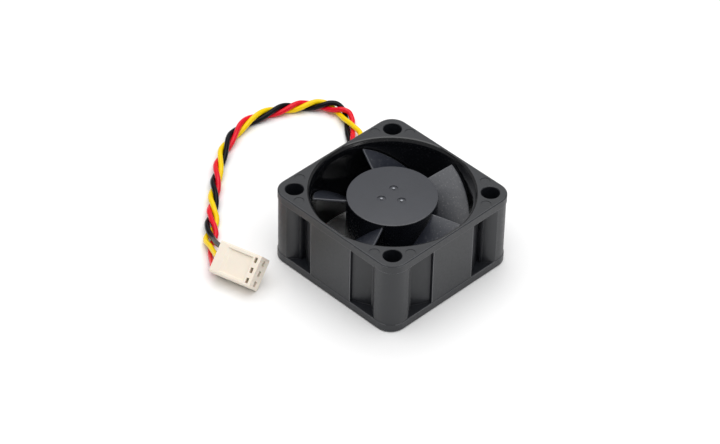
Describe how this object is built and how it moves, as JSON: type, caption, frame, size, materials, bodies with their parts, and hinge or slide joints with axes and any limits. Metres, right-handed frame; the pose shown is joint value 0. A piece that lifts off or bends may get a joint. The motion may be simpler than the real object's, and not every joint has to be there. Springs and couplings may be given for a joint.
{
  "type": "cooling fan",
  "caption": "Square axial cooling fan with a bladed impeller on a brushless motor, and a short twisted lead that ends in a plug.",
  "frame": {"origin": "middle of the outlet face, on the shaft's axis", "axes": "+Z along the shaft towards the inlet, +X and +Y along the sides of the frame; the lead leaves near the -X side"},
  "size_m": [0.0794, 0.0674, 0.02],
  "materials": {
    "frame_plastic": "fine grain",
    "impeller_plastic": "fine grain",
    "cap_plastic": "smooth",
    "ivory_plastic": "smooth",
    "insulator_plastic": "smooth",
    "bright_steel": "ground",
    "dark_steel": "plain",
    "zinc_steel": "zinc plated",
    "brass": "turned",
    "tinned_bronze": "tinned",
    "enamelled_copper": "enamelled",
    "ferrite": "ground",
    "board": "solder mask",
    "package": "moulded",
    "chip_parts": "plain",
    "solder": "bright",
    "red_sleeve": "glossy",
    "black_sleeve": "glossy",
    "yellow_sleeve": "glossy"
  },
  "bodies": {
    "housing": {"frame": "frame_plastic", "dust_cap": "cap_plastic", "bearing_tube": "brass", "lower_outer_ring": "bright_steel", "lower_shields": "zinc_steel", "upper_outer_ring": "bright_steel", "upper_shields": "zinc_steel", "stator_core": "dark_steel", "lower_insulator": "insulator_plastic", "upper_insulator": "insulator_plastic", "stator_coils": "enamelled_copper", "winding_pins": "tinned_bronze", "circuit_board": "board", "hall_sensor": "package", "driver_chip": "package", "board_components": "chip_parts", "solder_joints": "solder", "wire_red": "red_sleeve", "wire_black": "black_sleeve", "wire_yellow": "yellow_sleeve", "connector_housing": "ivory_plastic", "crimp_terminals": "tinned_bronze"},
    "rotor": {"impeller": "impeller_plastic", "rotor_yoke": "zinc_steel", "rotor_magnet": "ferrite", "shaft": "bright_steel", "shaft_bush": "brass", "preload_spring": "bright_steel", "retaining_ring": "dark_steel", "lower_inner_ring": "bright_steel", "upper_inner_ring": "bright_steel"},
    "lower_ball_set": {"lower_balls": "bright_steel", "lower_cage": "brass"},
    "upper_ball_set": {"upper_balls": "bright_steel", "upper_cage": "brass"}
  },
  "joints": [
    {"name": "rotor_spin", "type": "hinge", "parent": "housing", "child": "rotor", "pos_m": [0, 0, 0.01], "axis": [0, 0, 1], "continuous": true},
    {"name": "lower_ball_orbit", "type": "hinge", "parent": "housing", "child": "lower_ball_set", "pos_m": [0, 0, 0.00325], "axis": [0, 0, 1], "continuous": true},
    {"name": "upper_ball_orbit", "type": "hinge", "parent": "housing", "child": "upper_ball_set", "pos_m": [0, 0, 0.01155], "axis": [0, 0, 1], "continuous": true}
  ],
  "couplings": [
    {"joint": "lower_ball_orbit", "follows": "rotor_spin", "ratio": 0.38571},
    {"joint": "upper_ball_orbit", "follows": "rotor_spin", "ratio": 0.38571}
  ]
}
